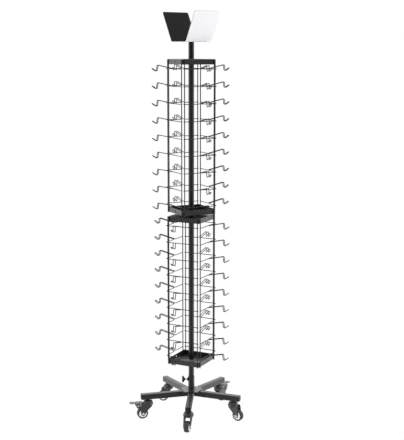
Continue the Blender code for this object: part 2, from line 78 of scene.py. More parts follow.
# Casters. A leg's outline has rows of (distance behind the stem, height, corner radius).
STEM_RADIUS = 0.004
STEM_FLANGE_RADIUS = 0.010
STEM_FLANGE_BOTTOM = 0.0855
WHEEL_RADIUS = 0.025
WHEEL_HALF_WIDTH = 0.011
RIM_RADIUS = 0.0175
GROOVE_FROM_MIDDLE = 0.0028
GROOVE_DEPTH = 0.0006
AXLE_RADIUS = 0.003
AXLE_HEAD_RADIUS = 0.0054
HOUSING_RADIUS = 0.0235
HOUSING_BOTTOM = 0.062
LEG_INNER = 0.0130
LEG_OUTER = 0.0160
LEG_END_RADIUS = 0.010
LEG_FRONT = (
    (-0.0165, HOUSING_BOTTOM + 0.004, 0.0),
    (-0.0162, HOUSING_BOTTOM - 0.0025, 0.005),
    (0.0040, 0.0400, 0.010),
)
LEG_UNDER_EAR = ((0.0360, 0.0400, 0.004), (0.0470, 0.0530, 0.003))
LEG_OVER_EAR = ((0.0376, 0.0560, 0.0015), (0.0349, 0.0528, 0.0015), (0.0318, 0.0540, 0.0015))
LEG_PLAIN_BACK = ((0.0318, 0.0540, 0.006),)
LEG_SHOULDER = ((0.0294, 0.0690, 0.002), (0.0262, 0.0718, 0.003), (0.0120, 0.0718, 0.0))
MOULDING_VOXEL = 0.0005

# Brake levers. PEDAL_HEIGHT and PAD_START are measured from the pivot.
LEVER_PIN_RADIUS = 0.0025
LEVER_PIN_HEAD_RADIUS = 0.0040
LEVER_EAR_RADIUS = 0.0095
CHEEK_THICKNESS = 0.0015
PEDAL_HEIGHT = 0.0100
PEDAL_HALF_WIDTH = 0.0121
PEDAL_WAIST = 0.0075
PAD_START = 0.0160
PAD_WIDTH_SHARE = 0.97
PRESSED_VOXEL = 0.0004

# Mast and clamp. BOSS_SHOULDER and BOSS_END are measured from the mast's axis. The knob's flutes are
# deepest at its rim and gone at FLUTES_FADE_OUT.
MAST_RADIUS = 0.0125
MAST_WALL = 0.0015
MAST_EDGE = 0.0003
SIGN_SCREW_HOLE = 0.0033
COLLAR_RADIUS = 0.0185
SOCKET_RADIUS = 0.0142
BOSS_RADIUS = 0.0095
BOSS_SHOULDER = 0.0155
BOSS_TIP_RADIUS = 0.0045
BOSS_END = 0.020
CLAMP_RADIUS = 0.003
THREAD_PITCH = 0.001
THREAD_ROOT = CLAMP_RADIUS - 0.0005
THREAD_CREST = CLAMP_RADIUS - 0.00005
KNOB_RADIUS = 0.015
KNOB_SEGMENTS = 120
KNOB_FLUTES = 20
FLUTE_DEPTH = 0.0005
FLUTES_FADE_OUT = 0.0110

# Racks
RACK_YAW = {"lower": math.radians(-26.5), "upper": math.radians(26.6)}
RACK_HEIGHT = 0.680
TRAY_HALF = 0.0784
TRAY_HEIGHT = 0.0235
TRAY_WALL = 0.0015
TRAY_CORNER = 0.0030
BUSH_HOLE_RADIUS = 0.0165
BUSH_FLANGE_RADIUS = 0.020
BUSH_FLANGE_THICKNESS = 0.003
TRAY_HOLE_RADIUS = 0.004

# Hook panels. PRONG_PROFILE has rows of (way out from the crossbar, height over it, bend radius).
UPRIGHT_RADIUS = 0.00225
UPRIGHT_OFFSET = 0.0715
UPRIGHT_OUT = TRAY_HALF + GAP + UPRIGHT_RADIUS
UPRIGHT_PAST_TRAY = 0.0025
HOOK_RADIUS = 0.0017
HOOK_ROWS = 9
FIRST_ROW = 0.0375
ROW_PITCH = 0.075
CROSSBAR_OUT = UPRIGHT_OUT + 0.003
CROSSBAR_HALF = 0.0788
PRONG_HALF_GAP = 0.0055
PRONG_PROFILE = (
    (0.0000, 0.0000, 0.0045),
    (0.0770, 0.0170, 0.0032),
    (0.0805, -0.0068, 0.0045),
    (0.0860, -0.0085, 0.0040),
)
PRONG_TIP = (0.1035, 0.0030)

# Sign. SIGN_FOOT is where a panel starts in the cross section and SIGN_SLOPE is its direction there.
SIGN_YAW = math.radians(40)
SIGN_LENGTH = 0.142
SIGN_HALF_BASE = 0.048
SIGN_PANEL = 0.141
SIGN_LEAN = math.radians(26)
SIGN_FOOT = Vector((SIGN_HALF_BASE, 0.0))
SIGN_SLOPE = Vector((math.sin(SIGN_LEAN), math.cos(SIGN_LEAN)))
SIGN_CORNER = 0.007
SIGN_CORNER_STEPS = 6
SIGN_FOLD = 0.002
SIGN_FOLD_STEPS = 4
SIGN_SHEET = 0.0015
CARD_SHEET = 0.0008
CARD_BORDER = 0.0045

# Stage. The levels are how bright the studio is in front, behind and in its dim parts. The spans say
# between which parts of the unit direction one level turns into the other.
CAMERA_FROM_MAST = (0.048, -4.42, 1.657)
CAMERA_PITCH = math.radians(9.6)
CAMERA_ROLL = math.radians(0.09)
CAMERA_LENS = 81.8
FLOOR_RADIUS = 2.2
FLOOR_COLOUR = (0.9, 0.9, 0.9, 1.0)
FLOOR_ROUGHNESS = 0.8
FLOOR_GLOW = 1.4
FRONT_LEVEL = 0.28
BACK_LEVEL = 1.6
DIM_LEVEL = 0.12
FRONT_TO_BACK_SPAN = (-0.75, 0.10)
GAP_TO_SIDE_SPAN = (0.45, 0.78)
GAP_TO_TOP_SPAN = (0.0, 0.25)
SOFTBOX_PLACE = Vector((0.0, 0.6, 3.4))
SOFTBOX_TARGET = Vector((0.0, 0.0, 0.6))
SOFTBOX_SIZE = 2.4
SOFTBOX_POWER = 30
WHITE = (1.0, 1.0, 1.0, 1.0)

# Shared by all meshes
SHARP_ANGLE = math.radians(35)
EDGE_SEGMENTS = 2


# ---------------------------------------------------------------------------------------------
# Finishes
# ---------------------------------------------------------------------------------------------

def linear(value):
    """An sRGB level from 0 to 255 as the linear value that a shader takes."""
    level = value / 255
    return level / 12.92 if level <= 0.04045 else ((level + 0.055) / 1.055) ** 2.4


def grey(level, blue=0):
    """An opaque grey of an sRGB level, with its blue raised by so many levels."""
    return (linear(level), linear(level), linear(level + blue), 1.0)


def finish(
    name, colour, roughness, grain, depth, mottle=0.12, patch=18.0, swing=0.06, metallic=0.0, gloss=0.5,
):
    """A surface with fine grain in its bump, and slow patches in its colour and roughness.

    grain is the bump's scale and depth its height, patch the patches' scale, mottle their share of the
    colour, and swing their part of the roughness.
    """
    material = bpy.data.materials.new(name)
    material.use_nodes = True
    nodes, links = material.node_tree.nodes, material.node_tree.links
    shader = nodes["Principled BSDF"]
    shader.inputs["Metallic"].default_value = metallic
    shader.inputs["Specular IOR Level"].default_value = gloss
    place = nodes.new("ShaderNodeTexCoord")

    def noise(scale, detail):
        made = nodes.new("ShaderNodeTexNoise")
        made.inputs["Scale"].default_value = scale
        made.inputs["Detail"].default_value = detail
        links.new(place.outputs["Object"], made.inputs["Vector"])
        return made.outputs["Fac"]

    patches = noise(patch, 3.0)
    blend = nodes.new("ShaderNodeMix")
    blend.data_type = "RGBA"
    blend.inputs["A"].default_value = (*(c * (1 - mottle) for c in colour[:3]), 1.0)
    blend.inputs["B"].default_value = (*(min(1.0, c * (1 + mottle)) for c in colour[:3]), 1.0)
    links.new(patches, blend.inputs["Factor"])
    links.new(blend.outputs["Result"], shader.inputs["Base Color"])

    rough = nodes.new("ShaderNodeMapRange")
    rough.inputs["To Min"].default_value = roughness - swing
    rough.inputs["To Max"].default_value = roughness + swing
    links.new(patches, rough.inputs["Value"])
    links.new(rough.outputs["Result"], shader.inputs["Roughness"])

    bump = nodes.new("ShaderNodeBump")
    bump.inputs["Strength"].default_value = 1.0
    bump.inputs["Distance"].default_value = depth
    links.new(noise(grain, 2.0), bump.inputs["Height"])
    links.new(bump.outputs["Normal"], shader.inputs["Normal"])
    return material


FINISHES = {
    "powder_coat": finish("black_powder_coat", grey(43), 0.30, 700, 0.00003),
    "wire_coat": finish("black_wire_coat", grey(30), 0.34, 900, 0.00003, gloss=0.35),
    "black_plastic": finish("black_moulded_plastic", grey(32, 1), 0.45, 1500, 0.00003),
    "caster_plastic": finish("black_caster_nylon", grey(56, 6), 0.18, 1100, 0.00003),
    "tyre": finish("grey_black_tyre_rubber", grey(52), 0.62, 1400, 0.00005, mottle=0.2, swing=0.08),
    "wheel_hub": finish("light_grey_hub_plastic", grey(238), 0.38, 900, 0.00002, mottle=0.03),
    "bright_steel": finish("zinc_plated_steel", grey(222), 0.34, 1300, 0.00001, patch=120, metallic=0.5),
    "lever_steel": finish("grey_pressed_steel", grey(116), 0.48, 1000, 0.00002, mottle=0.08, gloss=0.25),
    "bush_nylon": finish("natural_nylon", grey(178), 0.48, 1200, 0.00002, mottle=0.04),
    "sign_black": finish("black_sign_sheet", grey(21), 0.55, 1600, 0.00002, mottle=0.08, gloss=0.1),
    "sign_card": finish("white_sign_card", grey(239, 4), 0.34, 2000, 0.00001, mottle=0.012, swing=0.03),
}
CARD_BORDER_FINISH = finish("light_grey_card_border", grey(188), 0.36, 2000, 0.00001, mottle=0.02)
# The hub plate's coat is smoother and glossier than the arms'. It is also painted a lighter grey than theirs
# (62 against 43). That lighter grey is painted light, making up for the shade the mast and racks cast on the
# hub.
HUB_PLATE_PAINTED_LIGHTER_COAT = finish("smooth_powder_coat_painted_lighter", grey(62), 0.22, 700, 0.00002, gloss=0.6)


# ---------------------------------------------------------------------------------------------
# Mesh tools
# ---------------------------------------------------------------------------------------------

def polar(radius, angle):
    return radius * math.cos(angle), radius * math.sin(angle)


def move(x=0.0, y=0.0, z=0.0):
    return Matrix.Translation((x, y, z))


def turn(angle, axis="Z"):
    return Matrix.Rotation(angle, 4, axis)


def fillet(points, radii, steps, closed=False):
    """Rounds a polyline's corners, in 2-D or 3-D. radii holds one radius per point, or one for all."""
    points = [Vector(point) for point in points]
    if not hasattr(radii, "__len__"):
        radii = [radii] * len(points)
    rounded = []
    for i, corner in enumerate(points):
        inner = closed or 0 < i < len(points) - 1
        if not inner or radii[i] <= 0.0:
            rounded.append(corner)
            continue
        into = (corner - points[i - 1]).normalized()
        out = (points[(i + 1) % len(points)] - corner).normalized()
        bend = into.angle(out)
        if bend < 0.01:
            rounded.append(corner)
            continue
        side = (out - into * into.dot(out)).normalized()
        start = corner - into * radii[i] * math.tan(bend / 2)
        centre = start + side * radii[i]
        for step in range(steps + 1):
            angle = bend * step / steps
            rounded.append(centre + (into * math.sin(angle) - side * math.cos(angle)) * radii[i])
    return rounded


def fillet_rows(rows, steps, closed=False):
    """Rounds the corners of an outline given as rows of (x, y, corner radius)."""
    return fillet([row[:2] for row in rows], [row[2] for row in rows], steps, closed)


def mirrored(rows):
    """The rows from last to first with their second number negated, to complete a symmetric outline."""
    return [(x, -y, *rest) for x, y, *rest in reversed(rows)]


def linked(name, data):
    """A new object in the scene."""
    obj = bpy.data.objects.new(name, data)
    bpy.context.scene.collection.objects.link(obj)
    return obj


def evaluated_mesh(obj):
    """The mesh that an object's modifiers make."""
    bpy.context.view_layer.update()
    return bpy.data.meshes.new_from_object(obj.evaluated_get(bpy.context.evaluated_depsgraph_get()))


def new_object(name, mesh, slot, place):
    mesh.materials.clear()
    mesh.materials.append(FINISHES[slot])
    mesh.shade_smooth()
    mesh.set_sharp_from_angle(angle=SHARP_ANGLE)
    obj = linked(name, mesh)
    obj.matrix_world = place
    return obj


def from_bmesh(name, bm):
    bmesh.ops.recalc_face_normals(bm, faces=bm.faces)
    mesh = bpy.data.meshes.new(name)
    bm.to_mesh(mesh)
    bm.free()
    return mesh


def loft(name, rings, closed=False):
    """Skins rings of equal length. The last ring meets the first if closed, or both ends get a cap."""
    bm = bmesh.new()
    rows = [[bm.verts.new(point) for point in ring] for ring in rings]
    pairs = list(zip(rows, rows[1:]))
    if closed:
        pairs.append((rows[-1], rows[0]))
    for low, high in pairs:
        for i in range(len(low)):
            j = (i + 1) % len(low)
            bm.faces.new((low[i], low[j], high[j], high[i]))
    if not closed:
        bm.faces.new(rows[0])
        bm.faces.new(rows[-1])
    return from_bmesh(name, bm)


def lathe(name, profile, segments):
    """Turns a profile of (radius, height) about Z. One that starts on the axis closes with caps."""
    on_axis = profile[0][0] == 0.0
    rings = []
    for radius, height in profile[1:-1] if on_axis else profile:
        rings.append([(*polar(radius, math.tau * i / segments), height) for i in range(segments)])
    return loft(name, rings, closed=not on_axis)


def rod(name, radius, low, high, segments):
    return lathe(name, ((0, low), (radius, low), (radius, high), (0, high)), segments)


def tube(name, inner, outer, z_range, edge, steps, segments):
    """An open tube with rounded edges."""
    low, high = z_range
    corners = ((inner, low), (outer, low), (outer, high), (inner, high))
    return lathe(name, fillet(corners, edge, steps, closed=True), segments)


def plate(name, outline, low, high, edge):
    """A flat plate from z = low to z = high whose outline's edges are rounded by edge."""
    mesh = loft(name, [[(x, y, low) for x, y in outline], [(x, y, high) for x, y in outline]])
    bm = bmesh.new()
    bm.from_mesh(mesh)
    rims = [e for e in bm.edges if abs(e.verts[0].co.z - e.verts[1].co.z) < 1e-7]
    bmesh.ops.bevel(bm, geom=rims, offset=edge, segments=EDGE_SEGMENTS, profile=0.5, affect="EDGES")
    bm.to_mesh(mesh)
    bm.free()
    return mesh


def wire(name, path, radius, sides=12):
    """A round wire along a path, with softly rounded ends."""
    end_radius, end_length = radius * 0.72, radius * 0.28
    runs = [(b - a).normalized() for a, b in zip(path, path[1:])]
    side = runs[0].orthogonal().normalized()
    rings = []
    for i, point in enumerate(path):
        before = runs[max(i - 1, 0)]
        after = runs[min(i, len(runs) - 1)]
        along = (before + after).normalized()
        side = (side - along * side.dot(along)).normalized()
        other = along.cross(side)
        sizes = [(radius, 0.0)]
        if i == 0:
            sizes = [(end_radius, 0.0), (radius, end_length)]
        if i == len(path) - 1:
            sizes = [(radius, -end_length), (end_radius, 0.0)]
        for size, shift in sizes:
            ring = []
            for k in range(sides):
                angle = math.tau * k / sides
                ring.append(point + along * shift + (side * math.cos(angle) + other * math.sin(angle)) * size)
            rings.append(ring)
    return loft(name, rings)


def rounded_box(name, x_range, y_range, z_range, edge):
    bm = bmesh.new()
    corners = [bm.verts.new((x, y, z)) for x in x_range for y in y_range for z in z_range]
    for face in ((0, 1, 3, 2), (4, 6, 7, 5), (0, 4, 5, 1), (2, 3, 7, 6), (0, 2, 6, 4), (1, 5, 7, 3)):
        bm.faces.new([corners[i] for i in face])
    bmesh.ops.bevel(bm, geom=bm.edges[:], offset=edge, segments=EDGE_SEGMENTS, profile=0.5, affect="EDGES")
    return from_bmesh(name, bm)


def joined(name, meshes):
    """Several meshes as one, each with its own place already in its vertices."""
    bm = bmesh.new()
    for mesh in meshes:
        bm.from_mesh(mesh)
        bpy.data.meshes.remove(mesh)
    return from_bmesh(name, bm)


def placed(mesh, place):
    mesh.transform(place)
    return mesh


def upright(mesh):
    """Turns a mesh a quarter about X: a plate in XY stands in XZ, and a rod along Z lies along Y."""
    return placed(mesh, turn(math.pi / 2, "X"))


def combine(base, tool, operation):
    """A mesh with another joined to it or cut from it by an exact Boolean."""
    body, cutter = linked("boolean_base", base), linked("boolean_tool", tool)
    boolean = body.modifiers.new("boolean", "BOOLEAN")
    boolean.operation = operation
    boolean.solver = "EXACT"
    boolean.object = cutter
    result = evaluated_mesh(body)
    bpy.data.objects.remove(cutter)
    bpy.data.meshes.remove(tool)
    bpy.data.objects.remove(body)
    return result


def fused(name, mesh, voxel, rounds):
    """Melts overlapping shapes into one moulded skin with soft inner corners."""
    obj = linked("fused", mesh)
    remesh = obj.modifiers.new("remesh", "REMESH")
    remesh.mode = "VOXEL"
    remesh.voxel_size = voxel
    soften = obj.modifiers.new("soften", "SMOOTH")
    soften.factor = 0.5
    soften.iterations = rounds
    result = evaluated_mesh(obj)
    result.name = name
    bpy.data.objects.remove(obj)
    return result


def stand_in(mesh, node, place=Matrix(), flat_faces=True):
    """Shows a fine mesh, placed from the mast's axis, instead of a CAD node: same body, same slot."""
    obj = new_object(f"{node}_fine", mesh, SLOT_OF[node], MAST_AXIS @ place)
    if flat_faces:
        weigh = obj.modifiers.new("flat_faces", "WEIGHTED_NORMAL")
        weigh.keep_sharp = True
    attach(obj, BODY_OF[node])
    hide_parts(node)
    return obj


def bright_piece(name, mesh, place, body):
    """A small zinc-plated piece that is part of a node's solid but has its own finish."""
    obj = new_object(name, mesh, "bright_steel", MAST_AXIS @ place)
    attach(obj, body)


def joint_place(name):
    """Where a joint is, seen from the mast's axis."""
    return Vector(JOINTS[name]["pos_m"]) - Vector((AXIS_X, AXIS_Y, 0.0))


def heights(node):
    """The bottom and top of a CAD node."""
    low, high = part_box(node)
    return low.z, high.z


# ---------------------------------------------------------------------------------------------
# Base
# ---------------------------------------------------------------------------------------------

def rounded_square(half, corner, steps=6):
    square = ((half, -half), (half, half), (-half, half), (-half, -half))
    return fillet(square, corner, steps, closed=True)


def make_hub():
    corners = []
    for i in range(len(ARM_NAMES)):
        corners.append(polar(HUB_RADIUS, FIRST_ARM_YAW + (i + 0.5) * ARM_STEP))
    outline = fillet(corners, HUB_CORNER, 6, closed=True)
    low = heights("hub_plate")[0]
    hub = stand_in(plate("hub_plate", outline, low, low + HUB_THICKNESS, 0.0006), "hub_plate")
    # Painted light: the hub plate gets the lighter painted coat, to make up for the shade that falls on it
    # from above.
    hub.data.materials[0] = HUB_PLATE_PAINTED_LIGHTER_COAT


def make_arm(name, yaw):
    """A square tube with rounded corners, open where the stem goes in, and its end cap."""
    half = ARM_SIZE / 2
    middle = sum(heights(f"base_arm_{name}")) / 2
    place = turn(yaw) @ move(z=middle)
    outer = rounded_square(half, ARM_CORNER)
    inner = rounded_square(half - ARM_WALL, ARM_CORNER - ARM_WALL)
    rings = []
    for ring, x in (
        (outer, ARM_INNER_END), (outer, ARM_OUTER_END), (inner, ARM_OUTER_END), (inner, ARM_INNER_END),
    ):
        rings.append([(x, a, b) for a, b in ring])
    arm = loft("arm", rings, closed=True)
    stem = joint_place(f"swivel_{name}")
    hole = placed(rod("hole", STEM_RADIUS + GAP, 0, half, 32), move(stem.xy.length, 0.0, -half - 0.003))
    stand_in(combine(arm, hole, "DIFFERENCE"), f"base_arm_{name}", place)

    face = ARM_OUTER_END + GAP
    plug = half - ARM_WALL - GAP
    rings = []
    for x, growth in ((ARM_OUTER_END - 0.012, -0.0006), (ARM_OUTER_END - 0.0112, 0.0), (face - 0.0001, 0.0)):
        rings.append([(x, a, b) for a, b in rounded_square(plug + growth, ARM_CORNER - ARM_WALL)])
    for x, growth in CAP_PROFILE:
        rings.append([(face + x, a, b) for a, b in rounded_square(half + growth, ARM_CORNER)])
    stand_in(loft("cap", rings), f"arm_end_cap_{name}", place)


# ---------------------------------------------------------------------------------------------
# Casters
# ---------------------------------------------------------------------------------------------

def arc(centre, radius, start, end, steps):
    """Outline rows round part of a circle, from one angle in degrees to another."""
    rows = []
    for i in range(steps + 1):
        x, y = polar(radius, math.radians(start + (end - start) * i / steps))
        rows.append((centre[0] + x, centre[1] + y, 0.0))
    return rows


def fork_mesh(trail, pivot, top):
    """Housing and two legs. A braked caster's legs reach out to ears round the lever's pivot."""
    rim, bore, low = HOUSING_RADIUS, STEM_RADIUS + GAP, HOUSING_BOTTOM
    housing = (
        (bore, low, 0.0), (rim - 0.004, low, 0.0012), (rim - 0.001, low + 0.003, 0.002),
        (rim, low + 0.006, 0.003), (rim, top - 0.0120, 0.003),
        (rim - 0.0022, top - 0.0085, 0.0010), (rim - 0.0026, top - 0.0060, 0.0010),
        (rim - 0.0040, top - 0.0025, 0.0025), (rim - 0.0085, top, 0.0030), (bore, top, 0.0),
    )
    shapes = [lathe("housing", fillet_rows(housing, 5), 72)]
    leg = [*LEG_FRONT, *arc((trail, WHEEL_RADIUS), LEG_END_RADIUS, 190, 350, 14)]
    if pivot:
        leg += [*LEG_UNDER_EAR, *arc(pivot, LEVER_EAR_RADIUS, -50, 190, 18), *LEG_OVER_EAR]
    else:
        leg += LEG_PLAIN_BACK
    outline = fillet_rows([*leg, *LEG_SHOULDER], 5)
    for side in (-1, 1):
        inner, outer = sorted((side * LEG_INNER, side * LEG_OUTER))
        shapes.append(upright(plate("leg", outline, inner, outer, 0.0007)))
    return fused("fork", joined("fork", shapes), MOULDING_VOXEL, 3)


def axle_mesh():
    """The riveted axle, with a flat head on the outside of each leg."""
    head, neck = LEG_OUTER + 0.0012, LEG_OUTER - 0.0008
    side = [
        (0, -head), (AXLE_HEAD_RADIUS - 0.0008, -head), (AXLE_HEAD_RADIUS, -head + 0.0008),
        (AXLE_HEAD_RADIUS, -neck), (AXLE_RADIUS, -neck),
    ]
    return lathe("axle", side + mirrored(side), 40)


def hub_mesh():
    """A dished wheel centre with a raised boss and a rim lip on each face."""
    half = WHEEL_HALF_WIDTH
    bore = AXLE_RADIUS + GAP
    side = [
        (bore, half + 0.0015), (0.0072, half + 0.0015), (0.0082, half + 0.0002), (0.0088, half - 0.0022),
        (0.0140, half - 0.0030), (0.0152, half - 0.0012), (RIM_RADIUS, half - 0.0008),
    ]
    return lathe("hub", fillet(side + mirrored(side), 0.0004, 3, closed=True), 64)


def tyre_mesh():
    """A tyre with rounded shoulders and two fine grooves round its tread."""
    inner, outer, half = RIM_RADIUS + GAP, WHEEL_RADIUS, WHEEL_HALF_WIDTH
    side = [
        (inner, -half + 0.0004, 0.0002), (inner + 0.001, -half, 0.0006),
        (outer - 0.003, -half, 0.0028), (outer, -half + 0.0035, 0.0020),
    ]
    tread = []
    for middle in (-GROOVE_FROM_MIDDLE, GROOVE_FROM_MIDDLE):
        for step, depth in ((-GROOVE_DEPTH, 0.0), (0.0, GROOVE_DEPTH), (GROOVE_DEPTH, 0.0)):
            tread.append((outer - depth, middle + step, 0.0002))
    return lathe("tyre", fillet_rows(side + tread + mirrored(side), 4, closed=True), 80)


def lever_mesh():
    """A pressed pedal with a waist and a thick end, on two cheeks with the brake shoe between them."""
    out, inner = LEG_INNER - GAP, LEG_INNER - GAP - CHEEK_THICKNESS
    low, wide, waist = PEDAL_HEIGHT, PEDAL_HALF_WIDTH, PEDAL_WAIST
    half_plan = [
        (-0.0225, -wide, 0.001), (0.0072, -wide, 0.002), (0.0095, -waist, 0.002),
        (0.0140, -waist, 0.002), (0.0168, -wide, 0.002), (0.0366, -wide, 0.003),
    ]
    plan = fillet_rows(half_plan + mirrored(half_plan), 5, closed=True)
    pad = [(x, y * PAD_WIDTH_SHARE) for x, y in plan if x > PAD_START]
    shapes = [plate("pedal", plan, low + 0.0001, low + 0.0029, 0.0008)]
    shapes.append(plate("pad", pad, low - 0.0009, low + 0.0039, 0.0012))
    cheek = fillet_rows((
        (-0.0180, low + 0.0010, 0.0), (-0.0165, -0.0050, 0.003), (-0.0065, -0.0180, 0.003),
        (0.0015, -0.0180, 0.003), (0.0065, low + 0.0010, 0.0),
    ), 5)
    for side in (-1, 1):
        near, far = sorted((side * inner, side * out))
        shapes.append(upright(plate("cheek", cheek, near, far, 0.0004)))
    reach = (inner + out) / 2
    shapes.append(rounded_box("shoe", (-0.0053, 0.0003), (-reach, reach), (-0.0175, -0.0145), 0.0005))
    shapes.append(upright(rod("pin", LEVER_PIN_RADIUS, -LEG_OUTER, LEG_OUTER, 32)))
    return fused("lever", joined("lever", shapes), PRESSED_VOXEL, 2)


def pin_head_mesh():
    """The two riveted heads of the lever's pin."""
    head, neck, radius = LEG_OUTER + 0.0017, LEG_OUTER + GAP, LEVER_PIN_HEAD_RADIUS
    profile = [(0, neck), (radius, neck), (radius, head - 0.0008), (radius - 0.0010, head), (0, head)]
    heads = [lathe("head", profile, 24), lathe("head", [(r, -z) for r, z in profile], 24)]
    return upright(joined("pin_heads", heads))


def stem_mesh(node):
    """The swivel stem, with its flange under the arm."""
    low, high = heights(node)
    bottom, top = STEM_FLANGE_BOTTOM, heights("base_arm_front")[0] - GAP
    profile = (
        (0, low), (STEM_RADIUS, low), (STEM_RADIUS, bottom), (STEM_FLANGE_RADIUS, bottom),
        (STEM_FLANGE_RADIUS, top), (STEM_RADIUS, top), (STEM_RADIUS, high - 0.0008),
        (STEM_RADIUS - 0.0008, high), (0, high),
    )
    return lathe("stem", profile, 32)


def make_casters():
    fork_top = heights("caster_fork_front")[1]
    trail = (joint_place("wheel_spin_front") - joint_place("swivel_front")).xy.length
    pin = joint_place("brake_lever_press_left")
    pivot = ((pin - joint_place("swivel_left")).xy.length, pin.z)
    pivot_from_stem = move(pivot[0], 0.0, pivot[1])
    pin_hole = placed(upright(rod("hole", LEVER_PIN_RADIUS + GAP, -0.03, 0.03, 24)), pivot_from_stem)
    braked_fork = combine(fork_mesh(trail, pivot, fork_top), pin_hole, "DIFFERENCE")
    plain_fork = fork_mesh(trail, None, fork_top)
    axle, hub, tyre, lever, pin_heads = axle_mesh(), hub_mesh(), tyre_mesh(), lever_mesh(), pin_head_mesh()
    for i, name in enumerate(ARM_NAMES):
        make_arm(name, FIRST_ARM_YAW + i * ARM_STEP)
        stem, wheel = joint_place(f"swivel_{name}"), joint_place(f"wheel_spin_{name}")
        yaw = math.atan2(wheel.y - stem.y, wheel.x - stem.x)
        swivel = move(stem.x, stem.y) @ turn(yaw)
        along_axle = swivel @ move(trail, 0.0, WHEEL_RADIUS) @ turn(math.pi / 2, "X")
        braked = f"brake_lever_{name}" in SLOT_OF
        stand_in(stem_mesh(f"caster_stem_{name}"), f"caster_stem_{name}", move(stem.x, stem.y))
        stand_in(braked_fork if braked else plain_fork, f"caster_fork_{name}", swivel, flat_faces=False)
        bright_piece(f"caster_axle_{name}", axle, along_axle, BODY_OF[f"caster_fork_{name}"])
        stand_in(hub, f"wheel_hub_{name}", along_axle)
        stand_in(tyre, f"tyre_{name}", along_axle)
        if braked:
            at_pivot = swivel @ pivot_from_stem
            stand_in(lever, f"brake_lever_{name}", at_pivot, flat_faces=False)
            bright_piece(f"lever_pin_{name}", pin_heads, at_pivot, BODY_OF[f"brake_lever_{name}"])


# ---------------------------------------------------------------------------------------------
# Mast, socket, clamp
# ---------------------------------------------------------------------------------------------

def make_mast():
    inner = MAST_RADIUS - MAST_WALL
    stand_in(tube("mast", inner, MAST_RADIUS, heights("mast"), MAST_EDGE, 2, 72), "mast")
    plug = tube("plug", SIGN_SCREW_HOLE, inner - GAP, heights("mast_top_plug"), MAST_EDGE, 2, 40)
    stand_in(plug, "mast_top_plug")
    for node in ("lower_stop_collar", "upper_stop_collar"):
        stand_in(tube("collar", MAST_RADIUS + GAP, COLLAR_RADIUS, heights(node), 0.0006, 3, 64), node)


def clamp_reach(node):
    """How far out from the mast's axis a piece of the clamp starts and ends."""
    low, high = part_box(node)
    return AXIS_X - high.x, AXIS_X - low.x


def clamp_axis():
    """The clamp's own frame: Z out along the screw from the mast's axis, at the screw's height."""
    return move(z=JOINTS["clamp_knob_turn"]["pos_m"][2]) @ turn(-math.pi / 2, "Y")


def make_socket():
    """The sleeve on the hub, its weld bead, and the boss that the clamp screw goes through."""
    low, high = heights("socket_tube")
    bore = MAST_RADIUS + GAP
    profile = (
        (bore, low, 0.0), (SOCKET_RADIUS + 0.0034, low, 0.0), (SOCKET_RADIUS + 0.0016, low + 0.0018, 0.002),
        (SOCKET_RADIUS, low + 0.0036, 0.002), (SOCKET_RADIUS, high, 0.0004), (bore, high, 0.0004),
    )
    sleeve = lathe("sleeve", fillet_rows(profile, 4), 72)
    start = bore + 0.0006
    profile = (
        (0, start, 0.0), (BOSS_RADIUS, start, 0.0), (BOSS_RADIUS, BOSS_SHOULDER, 0.001),
        (BOSS_TIP_RADIUS, BOSS_END, 0.0006), (0, BOSS_END, 0.0),
    )
    boss = placed(lathe("boss", fillet_rows(profile, 4), 48), clamp_axis())
    hole = placed(rod("hole", CLAMP_RADIUS + GAP, 0.002, BOSS_END + 0.002, 32), clamp_axis())
    stand_in(combine(combine(sleeve, boss, "UNION"), hole, "DIFFERENCE"), "socket_tube")


def make_clamp():
    """The clamp screw, its thread made of rings, and the fluted mushroom knob on its outer end."""
    tip, seat = clamp_reach("clamp_screw")
    profile = [(0, tip), (CLAMP_RADIUS - 0.0006, tip)]
    height = tip + THREAD_PITCH / 2
    while height < seat - THREAD_PITCH:
        profile += [(THREAD_ROOT, height), (THREAD_CREST, height + THREAD_PITCH / 2)]
        height += THREAD_PITCH
    profile += [(THREAD_ROOT, seat), (0, seat)]
    stand_in(lathe("clamp_screw", profile, 32), "clamp_screw", clamp_axis())

    start, end = clamp_reach("clamp_knob")
    bore = CLAMP_RADIUS + GAP
    outside = fillet_rows((
        (bore, start, 0.0), (0.0050, start, 0.0006), (0.0060, start + 0.0025, 0.003),
        (0.0115, start + 0.0055, 0.003), (KNOB_RADIUS, start + 0.0070, 0.0012),
        (KNOB_RADIUS, end - 0.0010, 0.0012), (KNOB_RADIUS - 0.0022, end, 0.002),
        (0.0050, end - 0.0004, 0.0), (0.0048, end - 0.0002, 0.0),
    ), 4)
    rings = []
    for radius, z in [*outside, (bore, end - 0.0002), (bore, seat + GAP), (bore, seat)]:
        grip = FLUTE_DEPTH * max(0.0, (radius - FLUTES_FADE_OUT) / (KNOB_RADIUS - FLUTES_FADE_OUT))
        ring = []
        for i in range(KNOB_SEGMENTS):
            angle = math.tau * i / KNOB_SEGMENTS
            size = radius - grip * (1 - math.cos(KNOB_FLUTES * angle)) / 2
            ring.append((*polar(size, angle), z))
        rings.append(ring)
    stand_in(loft("knob", rings, closed=True), "clamp_knob", clamp_axis())


# ---------------------------------------------------------------------------------------------
# Racks
# ---------------------------------------------------------------------------------------------

